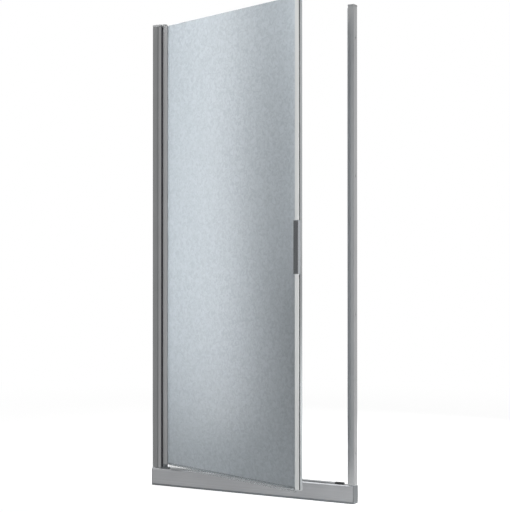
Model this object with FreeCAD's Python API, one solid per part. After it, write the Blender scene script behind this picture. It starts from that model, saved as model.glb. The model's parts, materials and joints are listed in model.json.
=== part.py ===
import FreeCAD
import Part
import math
import os

from FreeCAD import Vector

# Pivot shower door: a hollow sill, two jambs held in wall channels, and a patterned glass leaf
# that swings outwards on two pins beside the left jamb. Millimetres. +X runs along the opening,
# +Y into the shower, +Z up. The origin is the middle of the sill's underside, and Y = 0 is the
# middle plane of the closed leaf.

# Whole frame
frame_width = 920.0  # wall to wall
frame_height = 1917.0  # floor to the top of the jamb caps
rest_opening = 20.8  # degrees that the leaf stands open
cut_overrun = 1.0  # how far a cut runs past the face that it opens
fit_clearance = 0.05  # round a screw in its thread and a bush in its bore
plug_clearance = 0.2  # round every plug and key in its hollow
edge_match = 0.001  # how near an edge lies to the place where it is looked for

# Leaf
glass_thickness = 6.0
glazing_gasket = 2.5  # thickness of the strip on each side of the glass
gasket_base = 2.0  # thickness of the strip behind the glass edge
gasket_lip = 1.0  # how far the strip shows beyond the metal
cheek = 3.5  # metal on each side of the glazing pocket
leaf_clearance = 18.5  # flat top of the sill to the leaf's underside
leaf_top_gap = 0.6  # leaf to the upper bracket's arm
stile_reach = 27.5  # pivot axis to the stile's edge on the glass side
stile_pocket = 14.0
stile_edge_radius = 1.5
closing_width = 21.0
closing_pocket = 9.0
closing_edge_radius = 0.8
front_skin = 1.8  # front wall of the groove in the free edge
closing_cap_thickness = 2.0

# Magnetic strips and edge seal
magnet_depth = 7.0
magnet_lead = 1.2  # the strip's front side, ahead of the middle plane
magnet_gap = 0.5  # between the two strips when the leaf is closed
sleeve_wall = 1.2
core_clearance = 0.1
strike_relief = 0.8  # how much narrower the strike's strip is at the front
edge_seal_recess = 0.6

# Sill
sill_front_height = 66.0  # floor to the sill's front edge
sill_rise = 4.0  # front edge to the flat top
sill_ledge = 5.0  # sloping strip in front of the jambs, and behind them
sill_wall = 2.5
sill_rib = 2.0
sill_rib_offset = 12.0  # middle plane to the middle of an inner rib
sill_edge_radius = 1.5
end_cap_thickness = 3.0
end_cap_plug = 10.0
base_seal_height = 8.0
base_seal_inset = 0.5

# Threshold
threshold_height = 6.0
threshold_depth = 14.0
threshold_lead = 5.0  # the bar's front face, ahead of the middle plane
threshold_edge_radius = 1.5
threshold_gap = 8.0  # lower pivot block to the bar
end_block_height = 7.0
end_block_length = 35.0
end_block_to_jamb = 26.0

# Wall profiles
wall_profile_leg = 25.0
wall_profile_web = 2.0
wall_profile_wall = 2.2
crown_drop = 1.0  # how far the face falls back at the wall
crown_width = 14.0  # width of the strip that falls back
wall_hole_radius = 3.0
wall_hole_count = 4
wall_hole_from_end = 120.0

# Profiles that slide in the wall profiles
slide_clearance = 0.2
jamb_wall = 1.8
jamb_setback = 12.0  # wall to the sliding profile, with room for screw heads
jamb_face = 39.0  # wall to the left jamb's front edge
lip_drop = 1.4  # how far the left jamb's face falls back at its edge
leaf_back_clearance = 1.8  # closed leaf to the lips behind it
seam_gap = 3.1  # left jamb's front edge to the stile's round nose
back_lip_past_pivot = 7.0
strike_face = 26.0  # wall to the strike profile's face
stop_overlap = 6.0  # how far the strike's lip reaches behind the closed leaf

# Hinge gasket
hinge_gasket_thickness = 1.5
fin_offset = 5.0  # middle plane to the gasket's fin
fin_thickness = 2.0
fin_gap = 0.4

# Jamb caps, pads, feet and their screws
jamb_cap_height = 8.0
cap_plug = 25.0
cap_edge_radius = 1.0
pad_thickness = 3.0
pad_inset = 0.5
foot_height = 40.0
foot_screw_radius = 2.5
foot_screw_bite = 12.0
foot_head_radius = 3.75
foot_head_height = 5.0
foot_counterbore = 8.0
jamb_screw_radius = 1.75
jamb_screw_reach = 9.0  # outside of the wall profile to the screw's tip
jamb_head_radius = 3.5
jamb_head_height = 2.2
jamb_screw_in_foot = 17.0  # sill's flat top to the lowest screw
jamb_screw_middle_shares = (0.35, 0.65)  # of the jamb's length
screw_hole_clearance = 0.2
cover_radius = 5.0
cover_height = 3.4
cover_edge_radius = 1.2

# Pivots
pin_radius = 4.0
pin_reach = 28.0  # how far a pin enters the leaf
pin_seat = 2.0  # metal left over the blind end of a pin's seat
running_clearance = 0.05
bush_wall = 2.0
bush_length = 32.0
bush_plate = 1.5
washer_thickness = 1.2
washer_radius = 8.0
thrust_gap = 0.1
boss_radius = 8.5
block_plate_height = 6.0
block_reach = 22.0  # pivot axis to the block's right end
block_depth = 20.0
block_gap = 1.0  # left jamb's edge to the block
block_screw_radius = 2.0
block_screw_bite = 10.0
block_screw_head_radius = 3.6
block_screw_head_height = 2.2
block_screw_from_pivot = 15.0
block_screw_spacing = 10.0

# Handle
handle_height = 198.0
handle_centre = 981.5  # floor to its middle
handle_proud = 6.5
handle_overlap = 1.2  # past the closing profile, on the glass side
handle_wrap = 2.0  # thickness over the free edge
handle_edge_radius = 1.5
finger_groove_radius = 2.4
handle_screw_spacing = 120.0
handle_screw_radius = 1.25
handle_screw_head_radius = 2.2
handle_screw_head_height = 1.2
handle_screw_bite = 4.5

# Bottom wiper
wiper_wall = 1.5
wiper_grip = 9.0
wiper_base = 1.5
wiper_fin = 1.2
wiper_gap = 0.8  # fin to the end block below it
wiper_end_gap = 0.5
drip_reach = 5.0
drip_thickness = 1.2

# Worked out: thicknesses across the opening
half_width = frame_width / 2
half_glass = glass_thickness / 2
half_pocket = half_glass + glazing_gasket
half_leaf = half_pocket + cheek
hollow_back = half_leaf + leaf_back_clearance
slide_half = hollow_back + jamb_wall
channel_half = slide_half + slide_clearance
half_jamb = channel_half + wall_profile_wall
half_sill = half_jamb + sill_ledge

# Worked out: heights
sill_top = sill_front_height + sill_rise
jamb_bottom = sill_top + pad_thickness
jamb_top = frame_height - jamb_cap_height
leaf_bottom = sill_top + leaf_clearance
leaf_top = jamb_top - leaf_top_gap
fin_bottom = sill_top + end_block_height + wiper_gap
washer_bottom = leaf_bottom - thrust_gap - washer_thickness
handle_bottom = handle_centre - handle_height / 2
handle_top = handle_centre + handle_height / 2

# Worked out: places from the wall, before they are put on the left or the right
seat = jamb_face - hinge_gasket_thickness
lip_back = slide_half - lip_drop - jamb_wall
hollow_start = jamb_setback + jamb_wall
left_hollow = (hollow_start, seat - jamb_wall)
right_hollow = (hollow_start, strike_face - jamb_wall)
right_hollow_front = slide_half - jamb_wall
pivot_from_wall = jamb_face + seam_gap + half_leaf
jamb_screw_from_wall = (jamb_setback + wall_profile_leg) / 2
jamb_screw_tip = half_jamb - jamb_screw_reach
leaf_end_from_wall = strike_face + magnet_depth + magnet_gap

# Worked out: places along the leaf, from the pivot axis
pivot_x = pivot_from_wall - half_width
leaf_reach = frame_width - pivot_from_wall - leaf_end_from_wall
closing_start = leaf_reach - closing_width
closing_web = leaf_reach - magnet_depth
pocket_end = closing_start + closing_pocket
glass_start = stile_reach - stile_pocket + gasket_base
glass_end = pocket_end - gasket_base
handle_screw_place = (pocket_end + closing_web) / 2
bore_radius = pin_radius + running_clearance + bush_wall


def box(x_range, y_range, z_range):
    """Box between two values on each axis."""
    ranges = (x_range, y_range, z_range)
    sizes = [high - low for low, high in ranges]
    return Part.makeBox(*sizes, Vector(*[low for low, high in ranges]))


def prism(corners, travel):
    """Polygon through the corners, drawn out along travel."""
    return Part.Face(Part.makePolygon(corners + corners[:1])).extrude(travel)


def from_wall(outline, bottom, top):
    """Upright prism of an outline given as distance from the left wall and Y."""
    corners = [Vector(away - half_width, y, bottom) for away, y in outline]
    return prism(corners, Vector(0, 0, top - bottom))


def leaf_box(reach_range, y_range, z_range):
    """Box of the closed leaf, with X given as distance from the pivot axis."""
    return box([pivot_x + reach for reach in reach_range], y_range, z_range)


def rod(radius, start, end):
    """Round bar between two points."""
    travel = end - start
    return Part.makeCylinder(radius, travel.Length, start, travel)


def pivot_rod(radius, bottom, top):
    """Round bar on the pivot axis."""
    return rod(radius, Vector(pivot_x, 0, bottom), Vector(pivot_x, 0, top))


def countersunk(radius, head_radius, head_height, top, tip):
    """Screw with a flush conical head, from the middle of its head to its tip."""
    travel = tip - top
    head = Part.makeCone(head_radius, radius, head_height, top, travel)
    return joined(head, rod(radius, top, tip))


def joined(first, *others):
    """One solid of pieces that touch or overlap."""
    return first.fuse(list(others)).removeSplitter()


def rounded(solid, radius, chosen):
    """The solid with the edges whose bounding box is chosen rounded."""
    edges = [edge for edge in solid.Edges if chosen(edge.BoundBox)]
    return solid.makeFillet(radius, edges)


def lies_at(low, high, place):
    """Whether both ends of a range lie at a place."""
    return abs(low - place) < edge_match and abs(high - place) < edge_match


def on_right(shape):
    """The same piece on the right side of the opening."""
    return shape.mirror(Vector(0, 0, 0), Vector(1, 0, 0))


def opened(shape):
    """A piece of the closed leaf, swung out to where the leaf stands at rest."""
    return shape.rotated(Vector(pivot_x, 0, 0), Vector(0, 0, 1), -rest_opening)


# Sill


def sill_bar(left, right):
    """Solid bar with the sill's outer section."""
    outline = [
        (-half_sill, base_seal_height),
        (half_sill, base_seal_height),
        (half_sill, sill_front_height),
        (half_jamb, sill_top),
        (-half_jamb, sill_top),
        (-half_sill, sill_front_height),
    ]
    bar = prism([Vector(left, y, z) for y, z in outline], Vector(right - left, 0, 0))

    def upper_edge(bounds):
        at_height = lies_at(bounds.ZMin, bounds.ZMax, sill_front_height)
        return at_height and bounds.XLength > edge_match

    return rounded(bar, sill_edge_radius, upper_edge)


def foot_places():
    """X and Y of the screw in the left and in the right jamb foot."""
    left_x = sum(left_hollow) / 2 - half_width
    right_x = half_width - sum(right_hollow) / 2
    left_y = (hollow_back - lip_back) / 2
    right_y = (hollow_back - right_hollow_front) / 2
    return [(left_x, left_y), (right_x, right_y)]


def block_screw_places():
    """X and Y of the lower pivot block's screws."""
    x = pivot_x + block_screw_from_pivot
    return [(x, side * block_screw_spacing / 2) for side in (-1, 1)]


def sill_rail():
    left = end_cap_thickness - half_width
    right = -left
    inner = half_sill - sill_wall
    cavity_outline = [
        (-inner, base_seal_height + sill_wall),
        (inner, base_seal_height + sill_wall),
        (inner, sill_front_height - sill_wall),
        (half_jamb - sill_wall, sill_top - sill_wall),
        (sill_wall - half_jamb, sill_top - sill_wall),
        (-inner, sill_front_height - sill_wall),
    ]
    start = left - cut_overrun
    travel = Vector(right - left + 2 * cut_overrun, 0, 0)
    cavity = prism([Vector(start, y, z) for y, z in cavity_outline], travel)
    for side in (-1, 1):
        middle = side * sill_rib_offset
        rib_range = (middle - sill_rib / 2, middle + sill_rib / 2)
        cavity = cavity.cut(box((start, start + travel.x), rib_range, (0, sill_top)))
    rail = sill_bar(left, right).cut(cavity)
    holes = [(place, foot_screw_radius) for place in foot_places()]
    holes += [(place, block_screw_radius) for place in block_screw_places()]
    for (x, y), radius in holes:
        low = Vector(x, y, sill_top - sill_wall - cut_overrun)
        rail = rail.cut(rod(radius + fit_clearance, low, Vector(x, y, sill_top + cut_overrun)))
    return rail


def sill_end_cap():
    plate_end = end_cap_thickness - half_width
    half_plug = sill_rib_offset - sill_rib / 2 - plug_clearance
    plug = box(
        (plate_end, plate_end + end_cap_plug),
        (-half_plug, half_plug),
        (base_seal_height + sill_wall + plug_clearance, sill_top - sill_wall - plug_clearance),
    )
    return joined(sill_bar(-half_width, plate_end), plug)


def sill_base_seal():
    depth = half_sill - base_seal_inset
    return box((-half_width, half_width), (-depth, depth), (0, base_seal_height))


def threshold_piece(left, right, height):
    """Length of bar on the sill, with its two upper edges rounded."""
    back = threshold_depth - threshold_lead
    piece = box((left, right), (-threshold_lead, back), (sill_top, sill_top + height))

    def upper_edge(bounds):
        at_top = lies_at(bounds.ZMin, bounds.ZMax, sill_top + height)
        return at_top and bounds.XLength > edge_match

    return rounded(piece, threshold_edge_radius, upper_edge)


def threshold():
    """The bar under the closed leaf, and the block at its right end."""
    block_right = half_width - wall_profile_leg - end_block_to_jamb
    block_left = block_right - end_block_length
    bar_left = pivot_x + block_reach + threshold_gap
    bar = threshold_piece(bar_left, block_left, threshold_height)
    return bar, threshold_piece(block_left, block_right, end_block_height)


# Jambs


def jamb_screw_heights():
    length = jamb_top - jamb_bottom
    middles = [jamb_bottom + share * length for share in jamb_screw_middle_shares]
    return [sill_top + jamb_screw_in_foot, *middles, jamb_top - cap_plug / 2]


def jamb_screw_hole(shape, heights, radius, inner, outer):
    """The shape with holes for jamb screws, from inner to outer Y."""
    x = jamb_screw_from_wall - half_width
    for z in heights:
        start = Vector(x, inner - cut_overrun, z)
        shape = shape.cut(rod(radius, start, Vector(x, outer + cut_overrun, z)))
    return shape


def wall_profile():
    outline = [
        (0, crown_drop - half_jamb),
        (crown_width, -half_jamb),
        (wall_profile_leg, -half_jamb),
        (wall_profile_leg, -channel_half),
        (wall_profile_web, -channel_half),
        (wall_profile_web, channel_half),
        (wall_profile_leg, channel_half),
        (wall_profile_leg, half_jamb),
        (crown_width, half_jamb),
        (0, half_jamb - crown_drop),
    ]
    profile = from_wall(outline, jamb_bottom, jamb_top)
    first = jamb_bottom + wall_hole_from_end
    spacing = (jamb_top - wall_hole_from_end - first) / (wall_hole_count - 1)
    outside = -half_width - cut_overrun
    inside = wall_profile_web - half_width + cut_overrun
    for index in range(wall_hole_count):
        z = first + index * spacing
        hole = rod(wall_hole_radius, Vector(outside, 0, z), Vector(inside, 0, z))
        profile = profile.cut(hole)
    radius = jamb_screw_radius + screw_hole_clearance
    return jamb_screw_hole(profile, jamb_screw_heights(), radius, channel_half, half_jamb)


def sliding_profile(outline, hollow_outline):
    """Hollow profile that slides in a wall profile, with its locking screws' holes."""
    profile = from_wall(outline, jamb_bottom, jamb_top)
    hollow = from_wall(hollow_outline, jamb_bottom - cut_overrun, jamb_top + cut_overrun)
    radius = jamb_screw_radius + fit_clearance
    return jamb_screw_hole(
        profile.cut(hollow), jamb_screw_heights(), radius, hollow_back, slide_half
    )


def left_jamb_profile():
    lip_end = pivot_from_wall + back_lip_past_pivot
    outline = [
        (jamb_setback, -slide_half),
        (wall_profile_leg, -slide_half),
        (jamb_face, lip_drop - slide_half),
        (jamb_face, -lip_back),
        (seat, -lip_back),
        (seat, hollow_back),
        (lip_end, hollow_back),
        (lip_end, slide_half),
        (jamb_setback, slide_half),
    ]
    hollow_outline = [
        (left_hollow[0], jamb_wall - slide_half),
        (wall_profile_leg, jamb_wall - slide_half),
        (left_hollow[1], -lip_back),
        (left_hollow[1], hollow_back),
        (left_hollow[0], hollow_back),
    ]
    return sliding_profile(outline, hollow_outline)


def strike_profile():
    lip_end = leaf_end_from_wall + stop_overlap
    outline = [
        (jamb_setback, -slide_half),
        (strike_face, -slide_half),
        (strike_face, hollow_back),
        (lip_end, hollow_back),
        (lip_end, slide_half),
        (jamb_setback, slide_half),
    ]
    hollow_outline = [
        (right_hollow[0], -right_hollow_front),
        (right_hollow[1], -right_hollow_front),
        (right_hollow[1], hollow_back),
        (right_hollow[0], hollow_back),
    ]
    return on_right(sliding_profile(outline, hollow_outline))


def hinge_gasket():
    strip = [(seat, -lip_back), (jamb_face, -lip_back), (jamb_face, hollow_back), (seat, hollow_back)]
    nose_edge = pivot_from_wall - math.sqrt(half_leaf**2 - fin_offset**2)
    fin_end = nose_edge - fin_gap
    fin_back = fin_offset + fin_thickness
    fin = [(seat, fin_offset), (fin_end, fin_offset), (fin_end, fin_back), (seat, fin_back)]
    return joined(from_wall(strip, jamb_bottom, jamb_top), from_wall(fin, leaf_bottom, leaf_top))


def hollow_key(hollow, front, bottom, top):
    """Block that fits in the hollow of the left jamb or, before it is mirrored, of the strike."""
    x_range = (hollow[0] + plug_clearance - half_width, hollow[1] - plug_clearance - half_width)
    y_range = (plug_clearance - front, hollow_back - plug_clearance)
    return box(x_range, y_range, (bottom, top))


def screwed_key(hollow, front, bottom, top, screw_height):
    """A key with the hole that the jamb screw at its height bites in."""
    key = hollow_key(hollow, front, bottom, top)
    radius = jamb_screw_radius + fit_clearance
    return jamb_screw_hole(key, [screw_height], radius, jamb_screw_tip, hollow_back)


def jamb_foot(hollow, front):
    top = sill_top + foot_height
    x = sum(hollow) / 2 - half_width
    y = (hollow_back - front) / 2
    foot = screwed_key(hollow, front, sill_top, top, jamb_screw_heights()[0])
    seat_height = top - foot_counterbore
    above = Vector(x, y, top + cut_overrun)
    below = Vector(x, y, sill_top - cut_overrun)
    shank = rod(foot_screw_radius + fit_clearance, below, above)
    recess = rod(foot_head_radius + screw_hole_clearance, Vector(x, y, seat_height), above)
    return foot.cut(shank).cut(recess)


def foot_screws():
    screws = []
    head_bottom = sill_top + foot_height - foot_counterbore
    for x, y in foot_places():
        seat_point = Vector(x, y, head_bottom)
        shank = rod(foot_screw_radius, Vector(x, y, sill_top - foot_screw_bite), seat_point)
        head = rod(foot_head_radius, seat_point, Vector(x, y, head_bottom + foot_head_height))
        screws.append(joined(shank, head))
    return screws


def jamb_pad(hollow, front, width):
    """Pad under a wall profile and the profile in it, open where the foot passes."""
    half_depth = half_jamb - pad_inset
    x_range = (-half_width, width - pad_inset - half_width)
    pad = box(x_range, (-half_depth, half_depth), (sill_top, jamb_bottom))
    window = hollow_key(hollow, front, sill_top - cut_overrun, jamb_bottom + cut_overrun)
    return pad.cut(window)


def cap_top_edge(bounds):
    return lies_at(bounds.ZMin, bounds.ZMax, frame_height)


def upper_pivot_bracket():
    heights = (jamb_top, frame_height)
    cap = box((-half_width, jamb_face - half_width), (-half_jamb, half_jamb), heights)
    arm = box((jamb_face - half_width, pivot_x), (-half_leaf, half_leaf), heights)
    body = joined(cap, arm, pivot_rod(half_leaf, *heights))
    body = rounded(body, cap_edge_radius, cap_top_edge)
    plug_bottom = jamb_top - cap_plug
    plug = screwed_key(left_hollow, lip_back, plug_bottom, jamb_top, jamb_screw_heights()[-1])
    pin_hole = pivot_rod(pin_radius + fit_clearance, jamb_top - cut_overrun, frame_height - pin_seat)
    return joined(body, plug).cut(pin_hole)


def right_jamb_cap():
    x_range = (-half_width, strike_face - half_width)
    cap = box(x_range, (-half_jamb, half_jamb), (jamb_top, frame_height))
    cap = rounded(cap, cap_edge_radius, cap_top_edge)
    plug_bottom = jamb_top - cap_plug
    screw_height = jamb_screw_heights()[-1]
    plug = screwed_key(right_hollow, right_hollow_front, plug_bottom, jamb_top, screw_height)
    return on_right(joined(cap, plug))


def jamb_screw_set():
    """The locking screws of both jambs, and the covers over their heads."""
    screws = []
    covers = []
    x = jamb_screw_from_wall - half_width
    for z in jamb_screw_heights():
        face = Vector(x, half_jamb, z)
        head_end = Vector(x, half_jamb + jamb_head_height, z)
        shank = rod(jamb_screw_radius, Vector(x, jamb_screw_tip, z), face)
        screw = joined(shank, rod(jamb_head_radius, face, head_end))
        cover_end = half_jamb + cover_height
        cover = rod(cover_radius, face, Vector(x, cover_end, z))
        cover = rounded(cover, cover_edge_radius, lambda b: lies_at(b.YMin, b.YMax, cover_end))
        cover = cover.cut(rod(jamb_head_radius + fit_clearance, face, head_end))
        screws += [screw, on_right(screw)]
        covers += [cover, on_right(cover)]
    return screws, covers


# Pivots


def lower_pivot_block():
    x_range = (jamb_face + block_gap - half_width, pivot_x + block_reach)
    plate_top = sill_top + block_plate_height
    plate = box(x_range, (-block_depth / 2, block_depth / 2), (sill_top, plate_top))
    block = joined(plate, pivot_rod(boss_radius, sill_top, washer_bottom))
    pin_hole = pivot_rod(pin_radius + fit_clearance, sill_top + pin_seat, washer_bottom + cut_overrun)
    block = block.cut(pin_hole)
    for x, y in block_screw_places():
        hole = countersunk(
            block_screw_radius + fit_clearance,
            block_screw_head_radius + fit_clearance,
            block_screw_head_height,
            Vector(x, y, plate_top),
            Vector(x, y, sill_top - cut_overrun),
        )
        block = block.cut(hole)
    return block


def lower_block_screws():
    top = sill_top + block_plate_height
    return [
        countersunk(
            block_screw_radius,
            block_screw_head_radius,
            block_screw_head_height,
            Vector(x, y, top),
            Vector(x, y, sill_top - block_screw_bite),
        )
        for x, y in block_screw_places()
    ]


def thrust_washer():
    washer = pivot_rod(washer_radius, washer_bottom, washer_bottom + washer_thickness)
    return washer.cut(pivot_rod(pin_radius + running_clearance, 0, frame_height))


def pivot_bush(plate_bottom, tube_bottom):
    """Bush in one end of the stile, with the plate that closes that end."""
    plate = stile_bar(plate_bottom, plate_bottom + bush_plate)
    tube = pivot_rod(bore_radius - fit_clearance, tube_bottom, tube_bottom + bush_length)
    return joined(plate, tube).cut(pivot_rod(pin_radius + running_clearance, 0, frame_height))


# Leaf, drawn closed


def stile_bar(bottom, top):
    """Length of the stile's outer section, round at the pivot, with the glazing pocket."""
    flat = leaf_box((0, stile_reach), (-half_leaf, half_leaf), (bottom, top))
    bar = joined(pivot_rod(half_leaf, bottom, top), flat)

    def glass_side_edge(bounds):
        at_edge = lies_at(bounds.XMin, bounds.XMax, pivot_x + stile_reach)
        return at_edge and bounds.ZLength > edge_match and bounds.YLength < edge_match

    bar = rounded(bar, stile_edge_radius, glass_side_edge)
    reach_range = (stile_reach - stile_pocket, stile_reach + cut_overrun)
    return bar.cut(leaf_box(reach_range, (-half_pocket, half_pocket), (bottom, top)))


def hinge_stile():
    bar = stile_bar(leaf_bottom + bush_plate, leaf_top - bush_plate)
    return bar.cut(pivot_rod(bore_radius, leaf_bottom, leaf_top))


def closing_bar(bottom, top):
    """Length of the closing profile's outer section, with the glazing pocket."""
    bar = leaf_box((closing_start, leaf_reach), (-half_leaf, half_leaf), (bottom, top))

    def front_edge(bounds):
        at_front = lies_at(bounds.YMin, bounds.YMax, -half_leaf)
        return at_front and bounds.ZLength > edge_match and bounds.XLength < edge_match

    bar = rounded(bar, closing_edge_radius, front_edge)
    reach_range = (closing_start - cut_overrun, pocket_end)
    return bar.cut(leaf_box(reach_range, (-half_pocket, half_pocket), (bottom, top)))


def handle_screw_heights():
    return [handle_centre + side * handle_screw_spacing / 2 for side in (-1, 1)]


def handle_screw(z, clearance, tip):
    """Screw from inside through the closing profile, its radii grown by a clearance."""
    x = pivot_x + handle_screw_place
    return countersunk(
        handle_screw_radius + clearance,
        handle_screw_head_radius + clearance,
        handle_screw_head_height,
        Vector(x, half_leaf, z),
        Vector(x, tip, z),
    )


def closing_profile():
    bottom = leaf_bottom + closing_cap_thickness
    top = leaf_top - closing_cap_thickness
    end_recess = leaf_box(
        (closing_web, leaf_reach + cut_overrun),
        (front_skin - half_leaf, half_leaf + cut_overrun),
        (bottom, top),
    )
    profile = closing_bar(bottom, top).cut(end_recess)
    for z in handle_screw_heights():
        profile = profile.cut(handle_screw(z, fit_clearance, -half_leaf - cut_overrun))
    return profile


def glazing_gasket_strip(outer_range, glass_range):
    """Channel-shaped strip that grips one upright edge of the glass."""
    heights = (leaf_bottom, leaf_top)
    strip = leaf_box(outer_range, (-half_pocket, half_pocket), heights)
    return strip.cut(leaf_box(glass_range, (-half_glass, half_glass), heights))


def stile_glazing_gasket():
    end = stile_reach + gasket_lip
    return glazing_gasket_strip((stile_reach - stile_pocket, end), (glass_start, end + cut_overrun))


def closing_glazing_gasket():
    start = closing_start - gasket_lip
    return glazing_gasket_strip((start, pocket_end), (start - cut_overrun, glass_end))


def door_glass():
    heights = (leaf_bottom + wiper_base, leaf_top)
    return leaf_box((glass_start, glass_end), (-half_glass, half_glass), heights)


def magnet_strip(x_range, y_range, z_range):
    """Hollow plastic sleeve, and the magnetic strip inside it."""
    bore_x, bore_y = [(low + sleeve_wall, high - sleeve_wall) for low, high in (x_range, y_range)]
    core_x, core_y = [
        (low + core_clearance, high - core_clearance) for low, high in (bore_x, bore_y)
    ]
    sleeve = box(x_range, y_range, z_range).cut(box(bore_x, bore_y, z_range))
    return sleeve, box(core_x, core_y, z_range)


def door_magnet():
    return magnet_strip(
        (pivot_x + closing_web, pivot_x + leaf_reach),
        (-magnet_lead, half_leaf),
        (leaf_bottom + closing_cap_thickness, leaf_top - closing_cap_thickness),
    )


def strike_magnet():
    face = half_width - strike_face
    return magnet_strip(
        (face - magnet_depth, face),
        (strike_relief - magnet_lead, half_leaf),
        (jamb_bottom, jamb_top),
    )


def edge_seal():
    """Dark strip in the free edge's groove, one length below the handle and one above it."""
    reach_range = (closing_web, leaf_reach - edge_seal_recess)
    y_range = (front_skin - half_leaf, -magnet_lead)
    below = (leaf_bottom + closing_cap_thickness, handle_bottom)
    above = (handle_top, leaf_top - closing_cap_thickness)
    return [leaf_box(reach_range, y_range, heights) for heights in (below, above)]


def handle():
    heights = (handle_bottom, handle_top)
    front = -half_leaf - handle_proud
    glass_side = closing_start - handle_overlap
    outer_end = leaf_reach + handle_wrap
    grip = leaf_box((glass_side, outer_end), (front, -half_leaf), heights)
    grip = rounded(grip, handle_edge_radius, lambda b: lies_at(b.YMin, b.YMax, front))
    wrap = leaf_box((leaf_reach, outer_end), (-half_leaf, -magnet_lead - strike_relief), heights)
    tongue = leaf_box(
        (closing_web + plug_clearance, leaf_reach),
        (front_skin - half_leaf + plug_clearance, -magnet_lead - plug_clearance - strike_relief),
        heights,
    )
    body = joined(grip, wrap, tongue)
    groove_x = pivot_x + glass_side
    groove_y = -half_leaf - finger_groove_radius
    low = Vector(groove_x, groove_y, handle_bottom - cut_overrun)
    high = Vector(groove_x, groove_y, handle_top + cut_overrun)
    body = body.cut(rod(finger_groove_radius, low, high))
    for z in handle_screw_heights():
        tip = -half_leaf - handle_screw_bite - fit_clearance
        body = body.cut(handle_screw(z, fit_clearance, tip))
    return body


def handle_screws():
    tip = -half_leaf - handle_screw_bite
    return [handle_screw(z, 0, tip) for z in handle_screw_heights()]


def bottom_wiper():
    left = pivot_x + stile_reach + gasket_lip + wiper_end_gap
    right = pivot_x + closing_start - gasket_lip - wiper_end_gap
    outer = half_glass + wiper_wall
    clip = box((left, right), (-outer, outer), (leaf_bottom, leaf_bottom + wiper_grip))
    slot_bottom = leaf_bottom + wiper_base
    slot = box((left, right), (-half_glass, half_glass), (slot_bottom, leaf_bottom + wiper_grip))
    fin = box((left, right), (-wiper_fin / 2, wiper_fin / 2), (fin_bottom, leaf_bottom))
    drip_outline = [
        (outer, leaf_bottom),
        (outer, leaf_bottom + drip_thickness),
        (outer + drip_reach, leaf_bottom + drip_thickness - drip_reach),
        (outer + drip_reach, leaf_bottom - drip_reach),
    ]
    drip = prism([Vector(left, y, z) for y, z in drip_outline], Vector(right - left, 0, 0))
    return joined(clip.cut(slot), fin, drip)


# All pieces by name, the leaf's still closed

threshold_bar, threshold_end_block = threshold()
jamb_screws, screw_covers = jamb_screw_set()
door_sleeve, door_core = door_magnet()
strike_sleeve, strike_core = strike_magnet()

frame_pieces = {
    "sill_rail": sill_rail(),
    "sill_end_cap_left": sill_end_cap(),
    "sill_end_cap_right": on_right(sill_end_cap()),
    "sill_base_seal": sill_base_seal(),
    "threshold_bar": threshold_bar,
    "threshold_end_block": threshold_end_block,
    "left_wall_profile": wall_profile(),
    "right_wall_profile": on_right(wall_profile()),
    "left_jamb_profile": left_jamb_profile(),
    "strike_profile": strike_profile(),
    "left_jamb_pad": jamb_pad(left_hollow, lip_back, jamb_face),
    "right_jamb_pad": on_right(jamb_pad(right_hollow, right_hollow_front, strike_face)),
    "left_jamb_foot": jamb_foot(left_hollow, lip_back),
    "right_jamb_foot": on_right(jamb_foot(right_hollow, right_hollow_front)),
    "foot_screws": foot_screws(),
    "hinge_gasket": hinge_gasket(),
    "upper_pivot_bracket": upper_pivot_bracket(),
    "right_jamb_cap": right_jamb_cap(),
    "jamb_screws": jamb_screws,
    "screw_covers": screw_covers,
    "lower_pivot_block": lower_pivot_block(),
    "lower_block_screws": lower_block_screws(),
    "thrust_washer": thrust_washer(),
    "lower_pivot_pin": pivot_rod(pin_radius, sill_top + pin_seat, leaf_bottom + pin_reach),
    "upper_pivot_pin": pivot_rod(pin_radius, leaf_top - pin_reach, frame_height - pin_seat),
    "strike_magnet_sleeve": strike_sleeve,
    "strike_magnet_core": strike_core,
}

leaf_pieces = {
    "hinge_stile": hinge_stile(),
    "lower_pivot_bush": pivot_bush(leaf_bottom, leaf_bottom),
    "upper_pivot_bush": pivot_bush(leaf_top - bush_plate, leaf_top - bush_length),
    "stile_glazing_gasket": stile_glazing_gasket(),
    "door_glass": door_glass(),
    "closing_profile": closing_profile(),
    "closing_glazing_gasket": closing_glazing_gasket(),
    "closing_bottom_cap": closing_bar(leaf_bottom, leaf_bottom + closing_cap_thickness),
    "closing_top_cap": closing_bar(leaf_top - closing_cap_thickness, leaf_top),
    "door_magnet_sleeve": door_sleeve,
    "door_magnet_core": door_core,
    "edge_seal": edge_seal(),
    "handle": handle(),
    "handle_screws": handle_screws(),
    "bottom_wiper": bottom_wiper(),
}


def save(name, piece, place):
    """Write one node, a solid or a group of like solids, put in its place."""
    solids = piece if isinstance(piece, list) else [piece]
    shape = Part.makeCompound([place(solid) for solid in solids])
    shape.exportStep(f"parts/{name}.step")


os.makedirs("parts", exist_ok=True)
for name, piece in frame_pieces.items():
    save(name, piece, lambda solid: solid)
for name, piece in leaf_pieces.items():
    save(name, piece, opened)
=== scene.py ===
import json
import math

import bpy
from mathutils import Matrix


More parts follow.
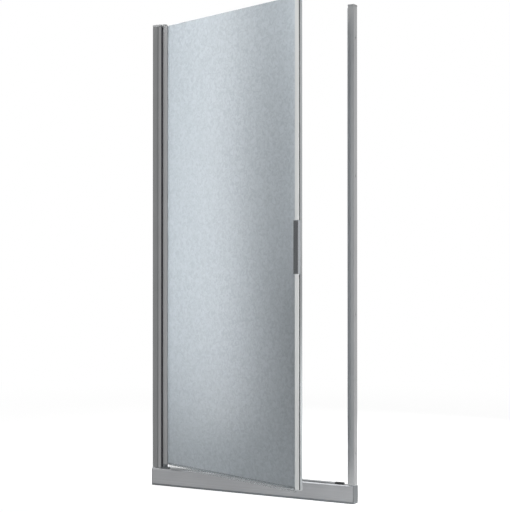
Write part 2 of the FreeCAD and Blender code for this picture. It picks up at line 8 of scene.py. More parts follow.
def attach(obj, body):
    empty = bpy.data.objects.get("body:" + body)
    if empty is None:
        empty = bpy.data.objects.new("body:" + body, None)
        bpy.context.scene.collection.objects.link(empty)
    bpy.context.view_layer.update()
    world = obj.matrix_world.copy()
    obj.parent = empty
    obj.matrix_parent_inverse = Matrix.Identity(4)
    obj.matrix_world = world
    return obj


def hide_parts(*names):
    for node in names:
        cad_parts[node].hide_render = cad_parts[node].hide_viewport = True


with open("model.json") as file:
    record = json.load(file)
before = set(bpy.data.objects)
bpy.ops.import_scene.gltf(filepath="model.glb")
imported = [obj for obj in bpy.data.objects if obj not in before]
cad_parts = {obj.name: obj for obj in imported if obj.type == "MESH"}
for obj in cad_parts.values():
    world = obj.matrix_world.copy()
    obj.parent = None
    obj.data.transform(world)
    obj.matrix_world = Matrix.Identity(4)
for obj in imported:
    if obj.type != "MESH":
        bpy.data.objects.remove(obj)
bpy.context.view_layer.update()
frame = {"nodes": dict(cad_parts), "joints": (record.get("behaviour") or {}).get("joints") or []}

# Camera: a viewer a little to the right of the door, five metres away, with a short telephoto lens.
# The eye is at half the door's height, so the uprights stay upright.
eye_data = bpy.data.cameras.new("viewer")
eye_data.lens = 90.87
eye_data.sensor_width = 36.0
eye_data.clip_end = 100.0
eye = bpy.data.objects.new("viewer", eye_data)
eye.location = (2.5092, -4.5370, 0.9177)
eye.rotation_euler = (math.radians(90.3723), 0.0, math.radians(28.7615))
bpy.context.scene.collection.objects.link(eye)
bpy.context.scene.camera = eye


# Sill: a hollow aluminium extrusion under the whole door, satin anodised and sawn to length.
# It is bedded along its whole length and carries both jambs.


def linear(code):
    """Linear colour of an sRGB hex value."""
    shares = [int(code[i : i + 2], 16) / 255 for i in (1, 3, 5)]
    return [s / 12.92 if s <= 0.04045 else ((s + 0.055) / 1.055) ** 2.4 for s in shares] + [1.0]


def add_node(tree, kind, settings, links=None):
    """New node with its settings, and with links given as input name to source socket."""
    made = tree.nodes.new(kind)
    for name, value in settings.items():
        if isinstance(name, int) or name in made.inputs:
            made.inputs[name].default_value = value
        else:
            setattr(made, name, value)
    for name, source in (links or {}).items():
        tree.links.new(source, made.inputs[name])
    return made


def new_material(name):
    """Empty node material, with its tree and output."""
    material = bpy.data.materials.new(name)
    material.use_nodes = True
    material.node_tree.nodes.clear()
    output = material.node_tree.nodes.new("ShaderNodeOutputMaterial")
    return material, material.node_tree, output


def satin_metal(name, dark, light, roughness, grain):
    """Metal with fine lines and a slow change of tone. Grain is the lines per metre on X, Y and Z."""
    material, tree, output = new_material(name)
    place = add_node(tree, "ShaderNodeTexCoord", {})
    lines_place = add_node(
        tree, "ShaderNodeMapping", {"Scale": grain}, {"Vector": place.outputs["Object"]}
    )
    lines = add_node(
        tree,
        "ShaderNodeTexNoise",
        {"Scale": 1.0, "Detail": 3.0, "Roughness": 0.6},
        {"Vector": lines_place.outputs["Vector"]},
    )
    cloud = add_node(
        tree,
        "ShaderNodeTexNoise",
        {"Scale": 9.0, "Detail": 2.0},
        {"Vector": place.outputs["Object"]},
    )
    tone = add_node(
        tree,
        "ShaderNodeMath",
        {"operation": "MULTIPLY_ADD", 1: 0.35},
        {0: cloud.outputs["Fac"], 2: lines.outputs["Fac"]},
    )
    colour = add_node(tree, "ShaderNodeValToRGB", {}, {"Fac": tone.outputs["Value"]})
    colour.color_ramp.elements[0].position = 0.35
    colour.color_ramp.elements[0].color = linear(dark)
    colour.color_ramp.elements[1].position = 1.0
    colour.color_ramp.elements[1].color = linear(light)
    gloss = add_node(
        tree,
        "ShaderNodeMapRange",
        {"To Min": roughness - 0.05, "To Max": roughness + 0.06},
        {"Value": lines.outputs["Fac"]},
    )
    bump = add_node(
        tree,
        "ShaderNodeBump",
        {"Strength": 0.25, "Distance": 0.00004},
        {"Height": lines.outputs["Fac"]},
    )
    surface = add_node(
        tree,
        "ShaderNodeBsdfPrincipled",
        {"Metallic": 1.0},
        {
            "Base Color": colour.outputs["Color"],
            "Roughness": gloss.outputs["Result"],
            "Normal": bump.outputs["Normal"],
        },
    )
    tree.links.new(surface.outputs["BSDF"], output.inputs["Surface"])
    return material


def dress(material, *nodes):
    """Give built nodes their finish."""
    for node in nodes:
        frame["nodes"][node].material_slots[0].material = material


# Anodised aluminium: soft grey reflections, drawn out along the faint lines that the die leaves.
# Real lines are about 0.2 mm apart, drawn here at 1.6 mm so that they show.
die_line, line_run = 1 / 0.0016, 1 / 0.9  # lines per metre, across them and along them
along_x = (line_run, die_line, die_line)
along_z = (die_line, die_line, line_run)
dress(satin_metal("sill anodised aluminium", "#898a8c", "#999a9c", 0.38, along_x), "sill_rail")


# Sill end caps: plates of moulded grey ABS with a plug behind them.
# They are pressed into the sill's hollow and close its sawn ends.


def moulded(name, dark, light, roughness, grain_size):
    """Moulded or extruded plastic or rubber, with a fine even grain of the given size in metres."""
    material, tree, output = new_material(name)
    place = add_node(tree, "ShaderNodeTexCoord", {})
    grain = add_node(
        tree,
        "ShaderNodeTexNoise",
        {"Scale": 1 / grain_size, "Detail": 4.0, "Roughness": 0.65},
        {"Vector": place.outputs["Object"]},
    )
    colour = add_node(tree, "ShaderNodeValToRGB", {}, {"Fac": grain.outputs["Fac"]})
    colour.color_ramp.elements[0].position = 0.3
    colour.color_ramp.elements[0].color = linear(dark)
    colour.color_ramp.elements[1].position = 0.75
    colour.color_ramp.elements[1].color = linear(light)
    gloss = add_node(
        tree,
        "ShaderNodeMapRange",
        {"To Min": roughness - 0.08, "To Max": roughness + 0.08},
        {"Value": grain.outputs["Fac"]},
    )
    bump = add_node(
        tree,
        "ShaderNodeBump",
        {"Strength": 0.4, "Distance": 0.0001},
        {"Height": grain.outputs["Fac"]},
    )
    surface = add_node(
        tree,
        "ShaderNodeBsdfPrincipled",
        {"IOR": 1.5},
        {
            "Base Color": colour.outputs["Color"],
            "Roughness": gloss.outputs["Result"],
            "Normal": bump.outputs["Normal"],
        },
    )
    tree.links.new(surface.outputs["BSDF"], output.inputs["Surface"])
    return material


# ABS: an even satin grey. The tool's spark-eroded grain is about 0.1 mm, drawn at 1.2 mm to show.
grey_abs = moulded("grey moulded ABS", "#64686b", "#73777a", 0.45, 0.0012)
dress(grey_abs, "sill_end_cap_left", "sill_end_cap_right")


# Bedding strip under the sill: extruded grey EPDM rubber, a little narrower than the sill.
# The sill's weight presses it flat, and it shows as a thin line along the bottom.
# The rubber is matt and faintly mottled, in patches of about 2 mm.
grey_rubber = moulded("grey EPDM rubber", "#7c8083", "#8c9093", 0.6, 0.002)
dress(grey_rubber, "sill_base_seal")


# Threshold bar: a flat anodised strip along the sill, under the closed leaf.
# It is glued down and keeps the water in.
dress(
    satin_metal("threshold anodised aluminium", "#a2a3a4", "#b6b7b8", 0.4, along_x),
    "threshold_bar",
)


# Threshold end block: a stop of black nylon that closes the bar's right end.
# It is moulded, and glued down beside the bar.
# Nylon: a dull black with a fine moulded grain, drawn at 1.5 mm to show.
black_nylon = moulded("black moulded nylon", "#2c2d2f", "#3a3b3d", 0.5, 0.0015)
dress(black_nylon, "threshold_end_block")


# Wall channels: open aluminium extrusions screwed to the walls through their backs.
# Their fronts fall back a little towards the wall, which gives them a soft edge.
# The right one is the same anodised metal as the left one. Its lighter colour is painted light, set
# against the dark reflection of the open leaf.
dress(
    satin_metal("left wall channel anodised aluminium", "#6f7071", "#808182", 0.36, along_z),
    "left_wall_profile",
)
dress(
    satin_metal("right wall channel aluminium with painted light", "#8e8f90", "#9fa0a1", 0.36, along_z),
    "right_wall_profile",
)


# Sliding profiles: hollow aluminium extrusions that fit in the wall channels.
# The left one holds the hinge side. The leaf closes against the right one, whose brighter colour is
# painted light, set against the dark reflection of the open leaf.
dress(
    satin_metal("jamb anodised aluminium", "#838485", "#949596", 0.36, along_z),
    "left_jamb_profile",
)
dress(
    satin_metal("strike aluminium with painted light", "#a0a1a2", "#afb0b1", 0.34, along_z),
    "strike_profile",
)


# Pads under the jambs: flat pieces of grey EPDM rubber, punched from sheet.
# They seal the jambs to the sill, and are held by the jambs' weight.
# The rubber is a matt light grey, faintly mottled in patches of about 2 mm.
dress(
    moulded("light grey EPDM rubber", "#b4b7b9", "#c2c5c7", 0.6, 0.002),
    "left_jamb_pad",
    "right_jamb_pad",
)


# Jamb feet: moulded keys of black nylon that stand in the profiles' hollows.
# Each is held down to the sill by one screw.
dress(black_nylon, "left_jamb_foot", "right_jamb_foot")


# Foot screws and jamb screws: pan-head screws of stainless steel, rolled and turned.
# They hold the feet to the sill, and the profiles in the wall channels.
# Steel: bright and fairly sharp reflections, with turning marks drawn at 1.4 mm to show.
turning_marks = 700.0  # per metre
steel = satin_metal("turned stainless steel", "#a6a6a4", "#c0c0be", 0.25, (turning_marks,) * 3)
dress(steel, "foot_screws", "jamb_screws")


# Screw covers: round caps of grey ABS, snapped over the heads of the jamb screws on the inside.
# Each has a chamfered rim, a shallow dish in front and a pocket for the screw's head.
cover_radius, cover_height, cover_wall = 0.005, 0.0034, 0.00145
cover_chamfer, cover_dish, pocket_depth = 0.0009, 0.0003, 0.0022
cover_x, jamb_back = 0.4415, 0.015  # screw's distance from the middle, and the channels' back face
cover_heights = [0.087, 0.7156, 1.2664, 1.8965]


def select_faces(piece, chosen):
    """Edit mode with only the chosen faces of a piece selected."""
    bpy.ops.object.mode_set(mode="EDIT")
    bpy.ops.mesh.select_mode(type="FACE")
    bpy.ops.mesh.select_all(action="DESELECT")
    bpy.ops.object.mode_set(mode="OBJECT")
    for face in piece.data.polygons:
        face.select = chosen(face)
    bpy.ops.object.mode_set(mode="EDIT")


def copy_of(piece, name, place):
    """Copy of a piece with its own mesh, moved by a matrix."""
    copy = piece.copy()
    copy.data = piece.data.copy()
    copy.name = name
    copy.data.transform(place)
    bpy.context.scene.collection.objects.link(copy)
    return copy


bpy.ops.object.select_all(action="DESELECT")
bpy.ops.mesh.primitive_cylinder_add(
    vertices=40,
    radius=cover_radius,
    depth=cover_height - cover_chamfer,
    rotation=(math.radians(90), 0.0, 0.0),
)
cover = bpy.context.object
bpy.ops.object.transform_apply(location=True, rotation=True, scale=True)
select_faces(cover, lambda face: face.normal.y > 0.9)
bpy.ops.mesh.inset(thickness=cover_chamfer, depth=cover_chamfer)
bpy.ops.mesh.inset(thickness=cover_chamfer, depth=-cover_dish)
select_faces(cover, lambda face: face.normal.y < -0.9)
bpy.ops.mesh.inset(thickness=cover_wall)
bpy.ops.mesh.extrude_region_move(TRANSFORM_OT_translate={"value": (0.0, pocket_depth, 0.0)})
bpy.ops.mesh.select_all(action="SELECT")
bpy.ops.mesh.normals_make_consistent(inside=False)
bpy.ops.transform.translate(value=(0.0, jamb_back + (cover_height - cover_chamfer) / 2, 0.0))
bpy.ops.object.mode_set(mode="OBJECT")
bpy.ops.object.shade_smooth_by_angle(angle=math.radians(30))
cover.data.materials.append(grey_abs)
cover_places = [(side * cover_x, height) for side in (-1, 1) for height in cover_heights]
for number, (x, height) in enumerate(cover_places):
    placed = copy_of(cover, f"screw_cover_{number + 1}", Matrix.Translation((x, 0.0, height)))
    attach(placed, "frame")
    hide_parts("screw_covers")
bpy.data.objects.remove(cover)


# Upper pivot bracket and right jamb cap: zinc castings with a silver lacquer.
# Their plugs stand in the profiles, held by the topmost jamb screws, and the bracket's arm holds a pin.
# Lacquer: a satin silver over a slightly uneven casting, with a skin of about 1 mm grain.
dress(
    moulded("silver lacquer on zinc", "#8b8c8d", "#989a9b", 0.35, 0.001),
    "upper_pivot_bracket",
    "right_jamb_cap",
)


# Hinge gasket: an extruded strip of grey rubber in the seam beside the stile. Its mid grey is painted
# light, lifted against the seam's deep shade, and its dark look comes from that shade.
# It is pressed into the jamb's edge, and its fin brushes the stile's round nose.
dress(moulded("grey hinge rubber with painted light", "#8c8d92", "#9c9da2", 0.6, 0.002), "hinge_gasket")


# Lower pivot block: moulded grey ABS, screwed to the sill under the stile.
# Its round boss holds the lower pin.
dress(grey_abs, "lower_pivot_block")


# Screws of the lower pivot block: two countersunk screws of stainless steel with a cross recess.
# They go down into the sill, with their heads flush in the block.
block_screw_x, block_screw_y, block_top = -0.3939, 0.005, 0.076


def countersunk_screw(head_radius, head_height, shank_radius, length):
    """Countersunk screw pointing down, with the middle of its head at the origin."""
    tip, tip_share = 1.5 * shank_radius, 0.3
    cross_size = (1.1 * head_radius, 0.3 * head_radius, 1.3 * head_height)
    bpy.ops.object.select_all(action="DESELECT")
    bpy.ops.mesh.primitive_circle_add(vertices=32, radius=head_radius, fill_type="NGON")
    screw = bpy.context.object
    bpy.ops.object.mode_set(mode="EDIT")
    bpy.ops.mesh.select_all(action="SELECT")
    end = 0.0
    steps = [  # how far each length goes down, and how much it narrows
        (head_height, shank_radius / head_radius),
        (length - head_height - tip, 1.0),
        (tip, tip_share),
    ]
    for travel, share in steps:
        end -= travel
        bpy.ops.mesh.extrude_region_move(TRANSFORM_OT_translate={"value": (0.0, 0.0, -travel)})
        bpy.ops.transform.resize(value=(share, share, 1.0), center_override=(0.0, 0.0, end))
    bpy.ops.mesh.select_all(action="SELECT")
    bpy.ops.mesh.normals_make_consistent(inside=False)
    bpy.ops.object.mode_set(mode="OBJECT")
    bpy.ops.mesh.primitive_cube_add(size=1.0)
    cross = bpy.context.object
    cross.scale = cross_size
    bpy.ops.object.transform_apply(location=True, rotation=True, scale=True)
    bpy.ops.object.mode_set(mode="EDIT")
    bpy.ops.mesh.select_all(action="SELECT")
    bpy.ops.mesh.duplicate()
    bpy.ops.transform.rotate(value=math.radians(90), orient_axis="Z", center_override=(0.0, 0.0, 0.0))
    bpy.ops.object.mode_set(mode="OBJECT")
    recess = screw.modifiers.new("recess", "BOOLEAN")
    recess.object = cross
    recess.operation = "DIFFERENCE"
    recess.use_self = True
    bpy.context.view_layer.objects.active = screw
    bpy.ops.object.modifier_apply(modifier="recess")
    bpy.data.objects.remove(cross)
    bpy.ops.object.select_all(action="DESELECT")
    screw.select_set(True)
    bpy.ops.object.shade_smooth_by_angle(angle=math.radians(30))
    screw.data.materials.append(steel)
    return screw


block_screw = countersunk_screw(
    head_radius=0.0036, head_height=0.0022, shank_radius=0.002, length=0.016
)
for number, side in enumerate((-1, 1)):
    place = Matrix.Translation((block_screw_x, side * block_screw_y, block_top))
    placed = copy_of(block_screw, f"block_screw_{number + 1}", place)
    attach(placed, "frame")
    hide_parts("lower_block_screws")
bpy.data.objects.remove(block_screw)


# Pivot pins: two turned rods of stainless steel, pressed into the block and the bracket.
# The leaf turns on them.
dress(steel, "upper_pivot_pin", "lower_pivot_pin")


# Bushes and thrust washer: grey nylon, moulded. The bushes close the stile's ends and turn on the pins.
# The washer lies on the block's boss and carries the leaf.
# Nylon: even and slightly glossy, with a moulded grain drawn at 2 mm to show.
dress(
    moulded("grey moulded nylon", "#767778", "#858687", 0.4, 0.002),
    "upper_pivot_bush",
    "lower_pivot_bush",
    "thrust_washer",
)


# Magnetic strips: sleeves of grey PVC, extruded, each with a strip of bonded ferrite inside.
# One is snapped into the leaf's free edge, the other onto the strike profile.
# PVC is smooth and half glossy, ferrite a dull brown black. Their grain is drawn at 1 to 2 mm to show.
dress(
    moulded("grey extruded PVC", "#999d9f", "#a3a7a9", 0.42, 0.0015),
    "door_magnet_sleeve",
    "strike_magnet_sleeve",
)
dress(
    moulded("bonded ferrite", "#37332f", "#45403b", 0.7, 0.0008),
    "door_magnet_core",
    "strike_magnet_core",
)


# Hinge stile: an anodised extrusion with a round nose, bored at both ends for the bushes.
# It grips the glass at the hinge side.
dress(satin_metal("stile anodised aluminium", "#797a7b", "#898a8b", 0.34, along_z), "hinge_stile")


# Glazing strips: extruded channels of pale rubber between the glass and the two uprights.
# They are pressed in with the glass, and show as a thin line beside it.
dress(
    moulded("pale glazing rubber", "#c6cccf", "#d4d9dc", 0.5, 0.002),
    "stile_glazing_gasket",
    "closing_glazing_gasket",
)


# Pane: six millimetre toughened glass with a rolled pattern of short swirling strokes on its outer side.
# The strokes are pressed in while the glass is soft. The cut edges are ground.
joint = frame["joints"][0]
pivot = (joint["pos_m"][0], joint["pos_m"][1], 0.0)
opening = math.radians(-joint["range_deg"][0])
pane_width, pane_height, pane_thickness = 0.8059, 1.8184, 0.006
pane_start, pane_bottom = 0.0155, 0.09  # from the pivot axis, and from the floor
grid_across, grid_up = 198, 446  # mesh faces about 4 mm apart
swirl_size, stroke_turns, stroke_depth = 0.018, 8.0, 0.0003

bpy.ops.object.select_all(action="DESELECT")
bpy.ops.mesh.primitive_grid_add(
    x_subdivisions=grid_across,
    y_subdivisions=grid_up,
    size=1.0,
    rotation=(math.radians(90), 0.0, 0.0),
)
pane = bpy.context.object
pane.name = "patterned_glass_pane"
pane.scale = (pane_width, pane_height, 1.0)
bpy.ops.object.transform_apply(location=True, rotation=True, scale=True)
strokes = bpy.data.textures.new("rolled strokes", "MARBLE")
strokes.noise_scale = swirl_size
strokes.noise_depth = 1
strokes.turbulence = stroke_turns
pressing = pane.modifiers.new("pressing", "DISPLACE")
pressing.texture = strokes
pressing.texture_coords = "LOCAL"
pressing.direction = "Y"
pressing.mid_level = 0.0
pressing.strength = stroke_depth
bpy.ops.object.modifier_apply(modifier="pressing")
bpy.ops.object.mode_set(mode="EDIT")
bpy.ops.mesh.select_all(action="SELECT")
middle = (pivot[0] + pane_start + pane_width / 2, -pane_thickness / 2, pane_bottom + pane_height / 2)
bpy.ops.transform.translate(value=middle)
bpy.ops.mesh.region_to_loop()
bpy.ops.mesh.extrude_region_move(TRANSFORM_OT_translate={"value": (0.0, pane_thickness, 0.0)})
bpy.ops.transform.resize(value=(1.0, 0.0, 1.0), center_override=(0.0, pane_thickness / 2, 0.0))
bpy.ops.mesh.edge_face_add()
bpy.ops.mesh.select_all(action="SELECT")
bpy.ops.mesh.normals_make_consistent(inside=False)
bpy.ops.object.mode_set(mode="OBJECT")
for face in pane.data.polygons:
    face.material_index = 1 if abs(face.normal.y) < 0.4 else 0
bpy.ops.object.mode_set(mode="EDIT")
bpy.ops.mesh.select_all(action="SELECT")
bpy.ops.transform.rotate(value=opening, orient_axis="Z", center_override=pivot)
bpy.ops.object.mode_set(mode="OBJECT")
bpy.ops.object.shade_smooth_by_angle(angle=math.radians(35))

# Patterned glass: blue grey and cloudy, because its strokes scatter what is behind them.
# Between the strokes, softer ripples of about 14 mm catch the light.
ripple_size = 0.014
glass, tree, output = new_material("rolled patterned glass")
place = add_node(tree, "ShaderNodeTexCoord", {})
ripple = add_node(
    tree,
    "ShaderNodeTexNoise",
    {"Scale": 1 / ripple_size, "Detail": 0.5, "Roughness": 0.5, "Distortion": 1.2},
    {"Vector": place.outputs["Object"]},
)
colour = add_node(tree, "ShaderNodeValToRGB", {}, {"Fac": ripple.outputs["Fac"]})
colour.color_ramp.elements[0].position = 0.3
colour.color_ramp.elements[0].color = linear("#b3bcc3")
colour.color_ramp.elements[1].position = 0.7
colour.color_ramp.elements[1].color = linear("#c1cad1")
bump = add_node(
    tree, "ShaderNodeBump", {"Strength": 0.5, "Distance": 0.0006}, {"Height": ripple.outputs["Fac"]}
)
surface = add_node(
    tree,
    "ShaderNodeBsdfPrincipled",
    {"Roughness": 0.2, "IOR": 1.52, "Transmission Weight": 0.2},
    {"Base Color": colour.outputs["Color"], "Normal": bump.outputs["Normal"]},
)
tree.links.new(surface.outputs["BSDF"], output.inputs["Surface"])
pane.data.materials.append(glass)
pane.data.materials.append(moulded("ground glass edge", "#7d8a8c", "#8f9c9d", 0.5, 0.0015))
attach(pane, "door")
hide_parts("door_glass")


# Closing profile: a bright anodised extrusion on the free edge, with a groove for the magnetic strip.
# Its two ends are closed by caps of pale grey ABS, pressed in.
dress(
    satin_metal("closing profile bright anodised aluminium", "#b0b2b2", "#c0c2c2", 0.3, along_z),
    "closing_profile",
)
pale_abs = moulded("pale grey moulded ABS", "#a3a6a7", "#b1b4b5", 0.42, 0.0012)
dress(pale_abs, "closing_top_cap", "closing_bottom_cap")


# Edge seal: an extruded strip of black rubber in the groove beside the magnetic strip.
# It is pressed in, in one length below the handle and one above it.
# The rubber's matt black is painted shade: it darkens the groove beyond its own real shade. It is
# faintly mottled in patches of about 2 mm.
dress(moulded("black groove rubber as painted shade", "#1e1f22", "#2b2c30", 0.62, 0.002), "edge_seal")


# Handle: a zinc casting that wraps the free edge, polished and plated in dark chrome.
# The plating gives a deep grey with clear reflections, and a polishing ripple of about 5 mm.
polishing = 1 / 0.005  # ripples per metre
dress(satin_metal("dark chrome plating", "#505254", "#5b5d5f", 0.16, (polishing,) * 3), "handle")


# Handle screws: two small countersunk screws of stainless steel with a cross recess.
# They go through the closing profile from the inside and hold the handle.
handle_screw_reach, leaf_back = 0.8259, 0.009  # from the pivot axis, and the leaf's inner face
handle_screw_heights = (0.9215, 1.0415)
handle_screw = countersunk_screw(
    head_radius=0.0022, head_height=0.0012, shank_radius=0.00125, length=0.0225
)
swing = Matrix.Translation(pivot) @ Matrix.Rotation(-opening, 4, "Z")
facing_in = Matrix.Rotation(math.radians(-90), 4, "X")
for number, height in enumerate(handle_screw_heights):
    place = swing @ Matrix.Translation((handle_screw_reach, leaf_back, height)) @ facing_in
    placed = copy_of(handle_screw, f"handle_screw_{number + 1}", place)
    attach(placed, "door")
    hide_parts("handle_screws")
bpy.data.objects.remove(handle_screw)


# Bottom wiper: a clear strip of soft PVC, extruded, whose clip grips the glass's lower edge.
# A fin under it brushes the threshold, and a lip on the inside throws the drips back.
wiper_start, wiper_end = 0.029, 0.8129  # from the pivot axis
clip_leg, clip_base, clip_bend, clip_top, clip_flare = 0.00378, 0.0892, 0.095, 0.0974, 0.0004
soft_edge, same_place = 0.0003, 0.0001  # rounding of the edges, and how near counts as the same point
wiper_lines = [  # middle line of each wall, as Y and Z with the leaf closed, and the wall's thickness
    (
        [
            (-clip_leg - clip_flare, clip_top),
            (-clip_leg, clip_bend),
            (-clip_leg, clip_base),
            (clip_leg, clip_base),
            (clip_leg, clip_bend),
            (clip_leg + clip_flare, clip_top),
        ],
        0.0014,
    ),
    ([(0.0, 0.0887), (0.0, 0.0846), (0.0002, 0.0812), (0.0007, 0.078)], 0.0011),
    ([(0.004, 0.0891), (0.0084, 0.0847), (0.0088, 0.0837)], 0.0011),
]
wiper_walls = []
for points, wall in wiper_lines:
    (y0, z0), (y1, z1) = points[:2]
    bpy.ops.object.select_all(action="DESELECT")
    bpy.ops.mesh.primitive_plane_add(
        size=1.0,
        location=(pivot[0] + (wiper_start + wiper_end) / 2, (y0 + y1) / 2, (z0 + z1) / 2),
        rotation=(math.atan2(z1 - z0, y1 - y0), 0.0, 0.0),
    )
    strip = bpy.context.object
    strip.scale = (wiper_end - wiper_start, math.hypot(y1 - y0, z1 - z0), 1.0)
    bpy.ops.object.transform_apply(location=True, rotation=True, scale=True)
    bpy.ops.object.mode_set(mode="EDIT")
    bpy.ops.mesh.select_mode(type="EDGE")
    bpy.ops.mesh.select_all(action="DESELECT")
    bpy.ops.object.mode_set(mode="OBJECT")
    for edge in strip.data.edges:
        ends = [strip.data.vertices[index].co for index in edge.vertices]
        edge.select = all(math.hypot(end.y - y1, end.z - z1) < same_place for end in ends)
    bpy.ops.object.mode_set(mode="EDIT")
    for (y, z), (next_y, next_z) in zip(points[1:], points[2:]):
        travel = (0.0, next_y - y, next_z - z)
        bpy.ops.mesh.extrude_region_move(TRANSFORM_OT_translate={"value": travel})
    bpy.ops.object.mode_set(mode="OBJECT")
    thickened = strip.modifiers.new("wall", "SOLIDIFY")
    thickened.thickness = wall
    thickened.offset = 0.0
    thickened.use_even_offset = True
    bpy.ops.object.modifier_apply(modifier="wall")
    softened = strip.modifiers.new("soft edges", "BEVEL")
    softened.width = soft_edge
    softened.segments = 2
    softened.angle_limit = math.radians(50)
    bpy.ops.object.modifier_apply(modifier="soft edges")
    wiper_walls.append(strip)
for strip in wiper_walls:
    strip.select_set(True)
wiper = wiper_walls[0]
bpy.context.view_layer.objects.active = wiper
bpy.ops.object.join()
wiper.name = "clear_wiper_strip"
bpy.ops.object.mode_set(mode="EDIT")
bpy.ops.mesh.select_all(action="SELECT")
bpy.ops.mesh.normals_make_consistent(inside=False)
bpy.ops.transform.rotate(value=opening, orient_axis="Z", center_override=pivot)
bpy.ops.object.mode_set(mode="OBJECT")
bpy.ops.object.shade_smooth_by_angle(angle=math.radians(40))

# Soft PVC: a clear, thin and slightly blue film, with the faint lines of the extruder along it.
# The lines are about 0.3 mm apart, drawn at 1 mm to show.
extruder_line, extruder_run = 1 / 0.001, 2.0  # lines per metre, across them and along them
clear_pvc, tree, output = new_material("clear soft PVC")
place = add_node(tree, "ShaderNodeTexCoord", {})
lines_place = add_node(
    tree,
    "ShaderNodeMapping",
    {"Scale": (extruder_run, extruder_run, extruder_line)},
    {"Vector": place.outputs["Object"]},
)
lines = add_node(
    tree,
    "ShaderNodeTexNoise",
    {"Scale": 1.0, "Detail": 2.0},
    {"Vector": lines_place.outputs["Vector"]},
)
colour = add_node(tree, "ShaderNodeValToRGB", {}, {"Fac": lines.outputs["Fac"]})
colour.color_ramp.elements[0].color = linear("#b4bcbf")
colour.color_ramp.elements[1].color = linear("#c6cdd0")
gloss = add_node(
    tree, "ShaderNodeMapRange", {"To Min": 0.22, "To Max": 0.34}, {"Value": lines.outputs["Fac"]}
)
surface = add_node(
    tree,
    "ShaderNodeBsdfPrincipled",
    {"IOR": 1.53, "Alpha": 0.25},
    {"Base Color": colour.outputs["Color"], "Roughness": gloss.outputs["Result"]},
)
tree.links.new(surface.outputs["BSDF"], output.inputs["Surface"])
wiper.data.materials.append(clear_pvc)
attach(wiper, "door")
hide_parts("bottom_wiper")


# Floor: a plain pale studio floor that fades into the white surroundings.
# What the eye, metal and glass see of it is lifted towards white, and the door's shadow stays on it.
floor_size, fade_start, fade_end, lift_share = 30.0, 1.2, 5.0, 0.78


def shown_to_eye(tree):
    """Socket that is one for the eye and for what metal and glass show, and zero for other rays."""
    rays = add_node(tree, "ShaderNodeLightPath", {})
    direct = add_node(
        tree,
        "ShaderNodeMath",
        {"operation": "MAXIMUM"},
        {0: rays.outputs["Is Camera Ray"], 1: rays.outputs["Is Glossy Ray"]},
    )
    shown = add_node(
        tree,
        "ShaderNodeMath",
        {"operation": "MAXIMUM"},
        {0: direct.outputs["Value"], 1: rays.outputs["Is Transmission Ray"]},
    )
    return shown.outputs["Value"]


bpy.ops.object.select_all(action="DESELECT")
bpy.ops.mesh.primitive_plane_add(size=floor_size)
floor = bpy.context.object
floor.name = "floor"
floor_paint, tree, output = new_material("pale studio floor")
place = add_node(tree, "ShaderNodeTexCoord", {})
away = add_node(
    tree, "ShaderNodeVectorMath", {"operation": "LENGTH"}, {0: place.outputs["Object"]}
)
fade = add_node(
    tree,
    "ShaderNodeMapRange",
    {"From Min": fade_start, "From Max": fade_end, "interpolation_type": "SMOOTHSTEP"},
    {"Value": away.outputs["Value"]},
)
paint = add_node(tree, "ShaderNodeBsdfDiffuse", {"Color": linear("#f4f4f3")})
shown = shown_to_eye(tree)
lift = add_node(tree, "ShaderNodeMath", {"operation": "MULTIPLY", 1: lift_share}, {0: shown})
lifted = add_node(tree, "ShaderNodeEmission", {}, {"Strength": lift.outputs["Value"]})
near = add_node(
    tree, "ShaderNodeAddShader", {}, {0: paint.outputs["BSDF"], 1: lifted.outputs["Emission"]}
)
far = add_node(tree, "ShaderNodeEmission", {}, {"Strength": shown})
mixed = add_node(
    tree,
    "ShaderNodeMixShader",
    {},
    {0: fade.outputs["Result"], 1: near.outputs["Shader"], 2: far.outputs["Emission"]},
)
tree.links.new(mixed.outputs["Shader"], output.inputs["Surface"])
floor.data.materials.append(floor_paint)


# Surroundings: white to the eye and in what metal and glass show, and dimmer as a light,
# so that the soft boxes give the door its shape.
dim_sky = 0.16
world = bpy.data.worlds.new("white surroundings")
world.use_nodes = True
world.node_tree.nodes.clear()
tree = world.node_tree
strength = add_node(
    tree, "ShaderNodeMapRange", {"To Min": dim_sky, "To Max": 1.0}, {"Value": shown_to_eye(tree)}
)
sky = add_node(
    tree,
    "ShaderNodeBackground",
    {"Color": (1.0, 1.0, 1.0, 1.0)},
    {"Strength": strength.outputs["Result"]},
)
add_node(tree, "ShaderNodeOutputWorld", {}, {"Surface": sky.outputs["Background"]})
bpy.context.scene.world = world


# Lamps: a tall soft box at the front left lights the pane, with small ones for its far corner, its free
# edge and the sill, and one fills in from behind. The left strip, the two cards and the rim light give
# the glass and the metal something to reflect.


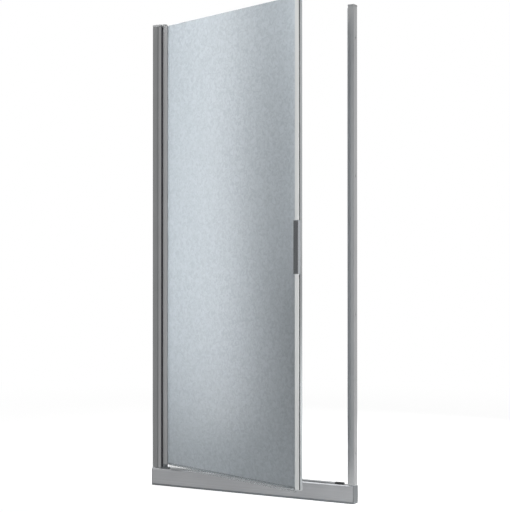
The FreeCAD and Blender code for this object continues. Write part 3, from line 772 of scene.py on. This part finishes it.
def soft_box(name, place, target, width, height, watts, beam, hidden_from):
    """Rectangular lamp with a beam in degrees that faces a point, hidden from the eye and some rays."""
    data = bpy.data.lights.new(name, "AREA")
    data.shape = "RECTANGLE"
    data.size = width
    data.size_y = height
    data.energy = watts
    data.spread = math.radians(beam)
    lamp = bpy.data.objects.new(name, data)
    away = [t - p for p, t in zip(place, target)]
    flat = math.hypot(away[0], away[1])
    lamp.rotation_euler = (math.atan2(flat, -away[2]), 0.0, math.atan2(-away[0], away[1]))
    lamp.location = place
    lamp.visible_camera = False
    for ray in hidden_from:
        setattr(lamp, "visible_" + ray, False)
    bpy.context.scene.collection.objects.link(lamp)


unseen = ["glossy", "transmission"]  # for lamps that neither metal nor glass shows
soft_box("key soft box", (-0.75, -1.45, 1.7), (-0.29, -0.04, 1.7), 0.4, 2.8, 7.4, 55, unseen)
soft_box("corner soft box", (0.447, -0.8, 2.1), (0.37, -0.29, 1.75), 0.4, 0.4, 2.2, 160, unseen)
soft_box("edge strip", (0.43, -0.46, 1.45), (0.35, -0.29, 1.45), 0.05, 1.1, 0.6, 160, unseen)
soft_box("sill soft box", (0.78, -0.4, 0.45), (0.1, -0.25, 0.0), 0.3, 0.3, 1.9, 160, unseen)
soft_box("back soft box", (0.7, 2.6, 1.6), (0.0, 0.0, 1.0), 1.4, 1.8, 31.0, 160, unseen)
soft_box("left strip", (-1.93, -0.76, 1.1), (-0.15, -0.1, 1.0), 0.22, 2.6, 4.0, 160, ["diffuse"])
soft_box("front card", (0.05, -3.0, 1.0), (0.4, 0.0, 0.9), 0.9, 2.2, 4.0, 160, ["diffuse"])
soft_box(
    "high card", (-1.0, 0.2, 2.45), (0.1, 0.0, 0.07), 1.4, 0.9, 19.0, 160, ["diffuse", "transmission"]
)
soft_box("right rim light", (2.3, 0.8, 1.2), (0.35, -0.25, 1.0), 0.8, 2.0, 16.5, 160, [])


# Colours are shown as they are.
bpy.context.scene.view_settings.view_transform = "Standard"
